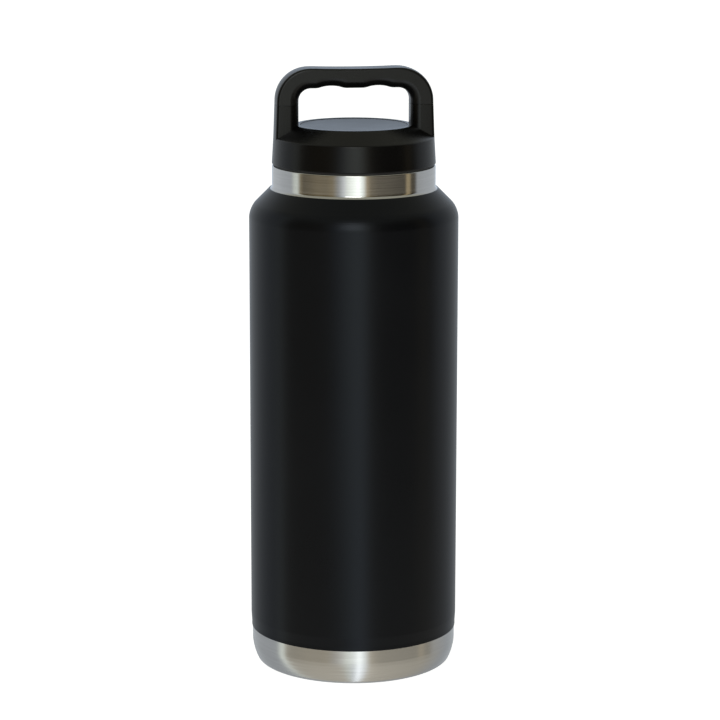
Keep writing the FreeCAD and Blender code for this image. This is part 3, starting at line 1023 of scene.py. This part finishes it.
# %% [markdown]
# Polished steel is a mirror, so what stands round the bottle matters more than the lamps. Real cards could
# be stood up in the scene, but painting the world by compass direction puts the same shapes in the steel
# and leaves nothing in the way of the other views. Light walls at the sides and behind give the dark coat
# its two grey rims. The room in front is dim and warm, with a lit strip in the middle. Each stop is an
# angle to the right of the lens, seen from the bottle, how bright it is there, and its tone.

# %% The tones of the room
CAMERA_TURN = 7.5
TONES = {
    "wall": (0.935, 1.0, 1.06), "back": (0.84, 0.98, 1.18), "lamp": (0.97, 1.04, 0.98),
    "olive": (1.36, 1.07, 0.57), "brown": (1.34, 1.06, 0.60), "table": (1.08, 1.03, 0.89),
}
ROOM = (
    (-180, 0.74, "back"), (-152, 0.58, "wall"), (-131, 0.57, "wall"), (-118, 0.52, "wall"),
    (-98, 0.47, "wall"), (-93, 0.66, "lamp"), (-86, 0.72, "lamp"), (-80, 0.15, "olive"),
    (-75, 0.055, "olive"), (-64, 0.075, "olive"), (-52, 0.11, "olive"), (-38, 0.10, "olive"),
    (-29, 0.15, "olive"), (-21, 0.34, "wall"), (-14, 0.80, "wall"), (-7, 1.20, "lamp"),
    (0, 1.50, "lamp"), (7, 1.66, "lamp"), (13, 1.15, "lamp"), (18, 0.28, "brown"),
    (24, 0.085, "brown"), (34, 0.04, "brown"), (71, 0.02, "brown"), (77, 0.02, "brown"),
    (80, 0.28, "brown"), (85, 0.28, "brown"), (88, 0.03, "brown"), (95, 0.03, "brown"),
    (101, 0.43, "wall"), (118, 0.49, "wall"), (155, 0.54, "wall"), (180, 0.74, "back"),
)
TABLE = (
    (-180, 0.56, "wall"), (-132, 0.42, "wall"), (-97, 0.44, "wall"), (-92, 1.05, "lamp"),
    (-88, 1.05, "lamp"), (-83, 0.50, "table"), (-76, 0.48, "table"), (-45, 0.52, "table"),
    (-28, 0.52, "table"), (-15, 0.52, "table"), (-6, 0.72, "lamp"), (1, 0.86, "wall"),
    (7, 1.72, "wall"), (13, 1.10, "wall"), (20, 0.62, "table"), (32, 0.54, "table"),
    (70, 0.48, "table"), (94, 0.44, "table"), (134, 0.40, "wall"), (180, 0.56, "wall"),
)
CEILING = (0.37, 0.37, 0.31)
print("room painted with", len(ROOM), "stops and the table with", len(TABLE))

# %% [markdown]
# The Generated coordinate of a world is the direction looked in. Its arctangent gives the compass angle,
# which is turned into a share of the full circle from 0 to 1, and a Color Ramp reads that share.

# %% The compass
world = bpy.data.worlds.new("studio")
bpy.context.scene.world = world
world.use_nodes = True
sky = world.node_tree
sky.nodes.clear()
look = add_node(sky, "ShaderNodeSeparateXYZ")
join(sky, (add_node(sky, "ShaderNodeTexCoord").outputs["Generated"], look.inputs[0]))
toward_us = math_node(sky, "MULTIPLY", look.outputs["Y"], -1)
bearing = math_node(sky, "ARCTAN2", look.outputs["X"], toward_us)
compass = math_node(sky, "ADD", bearing, math.radians(CAMERA_TURN))
share = math_node(sky, "FRACT", math_node(sky, "ADD", math_node(sky, "DIVIDE", compass, math.tau), 0.5))
print("the compass has its zero", CAMERA_TURN, "degrees from the front")

# %% [markdown]
# Two rings are painted, one for the room and one for the table below it. They blend into each other, and
# the room into the ceiling, by how far up or down the direction points. A camera ray sees plain white
# instead, so the backdrop stays clean whatever is painted for the steel.

# %% The painted room
TABLE_ENDS, ROOM_STARTS = -0.30, -0.16
ROOM_ENDS, CEILING_STARTS = 0.40, 0.75


def painted(stops):
    """A colour for each compass angle."""
    colours = [tuple(level * part for part in TONES[tone]) + (1,) for _, level, tone in stops]
    paint = add_node(sky, "ShaderNodeValToRGB")
    marks = paint.color_ramp.elements
    marks[0].color, marks[1].color = colours[0], colours[-1]
    for (angle, _, _), colour in zip(stops[1:-1], colours[1:-1]):
        marks.new(0.5 + angle / 360).color = colour
    join(sky, (share, paint.inputs["Fac"]))
    return paint.outputs["Color"]


def blend_by_height(below, start, end, above):
    ease = add_node(sky, "ShaderNodeMapRange", interpolation_type="SMOOTHSTEP")
    ease.inputs["From Min"].default_value = start
    ease.inputs["From Max"].default_value = end
    mix = add_node(sky, "ShaderNodeMix", data_type="RGBA")
    join(
        sky, (look.outputs["Z"], ease.inputs["Value"]), (ease.outputs["Result"], mix.inputs["Factor"]),
        (below, mix.inputs["A"]), (above, mix.inputs["B"]),
    )
    return mix.outputs["Result"]


overhead = add_node(sky, "ShaderNodeRGB").outputs[0]
overhead.default_value = (*CEILING, 1)
surround = blend_by_height(painted(TABLE), TABLE_ENDS, ROOM_STARTS, painted(ROOM))
everything = blend_by_height(surround, ROOM_ENDS, CEILING_STARTS, overhead)
room = add_node(sky, "ShaderNodeBackground")
paper_white = add_node(sky, "ShaderNodeBackground")
paper_white.inputs["Color"].default_value = (1, 1, 1, 1)
either = add_node(sky, "ShaderNodeMixShader")
join(
    sky,
    (everything, room.inputs["Color"]),
    (add_node(sky, "ShaderNodeLightPath").outputs["Is Camera Ray"], either.inputs["Fac"]),
    (room.outputs[0], either.inputs[1]),
    (paper_white.outputs[0], either.inputs[2]),
    (either.outputs[0], add_node(sky, "ShaderNodeOutputWorld").inputs["Surface"]),
)
print("the world has", len(sky.nodes), "nodes")

# %% [markdown]
# One tall softbox stands behind the lens and above it. A rectangle of light draws a soft streak down a
# cylinder, where a point lamp would draw a hard line.

# %% The light
def softbox(name, place, aim, width, height, power):
    lamp = bpy.data.lights.new(name, "AREA")
    lamp.shape = "RECTANGLE"
    lamp.size, lamp.size_y = width, height
    lamp.energy = power
    box = bpy.data.objects.new(name, lamp)
    box.location = place
    box.rotation_euler = (Vector(aim) - Vector(place)).to_track_quat("-Z", "Y").to_euler()
    box.visible_camera = False
    bpy.context.scene.collection.objects.link(box)
    print("light", name, f"{power} W, {width} by {height} m")


softbox("front_softbox", place=(-0.27, -1.88, 1.0), aim=(0, 0, 0.15), width=0.75, height=1.1, power=4.0)

# %% [markdown]
# ## The camera
#
# A long lens keeps the bottle's sides nearly parallel. It looks from a little above the cap, and from the
# left, so the handle shows its left end a touch more.

# %% Camera
FOCAL_LENGTH = 142.05
LOOK_DOWN = 0.2015
ROLL = -0.0015
SHIFT = -0.0016
CAMERA_PLACE = (-0.1549, -1.1988, 0.3806)
lens = bpy.data.cameras.new("camera")
lens.lens = FOCAL_LENGTH
lens.sensor_width = 36
lens.clip_end = 60
lens.shift_x = SHIFT
camera = bpy.data.objects.new("camera", lens)
camera.location = CAMERA_PLACE
camera.rotation_euler = (math.pi / 2 - LOOK_DOWN, ROLL, -math.radians(CAMERA_TURN))
bpy.context.scene.collection.objects.link(camera)
bpy.context.scene.camera = camera
bpy.context.scene.view_settings.view_transform = "Standard"
print(f"camera {camera.location.length:.2f} m away with a {FOCAL_LENGTH:.0f} mm lens")
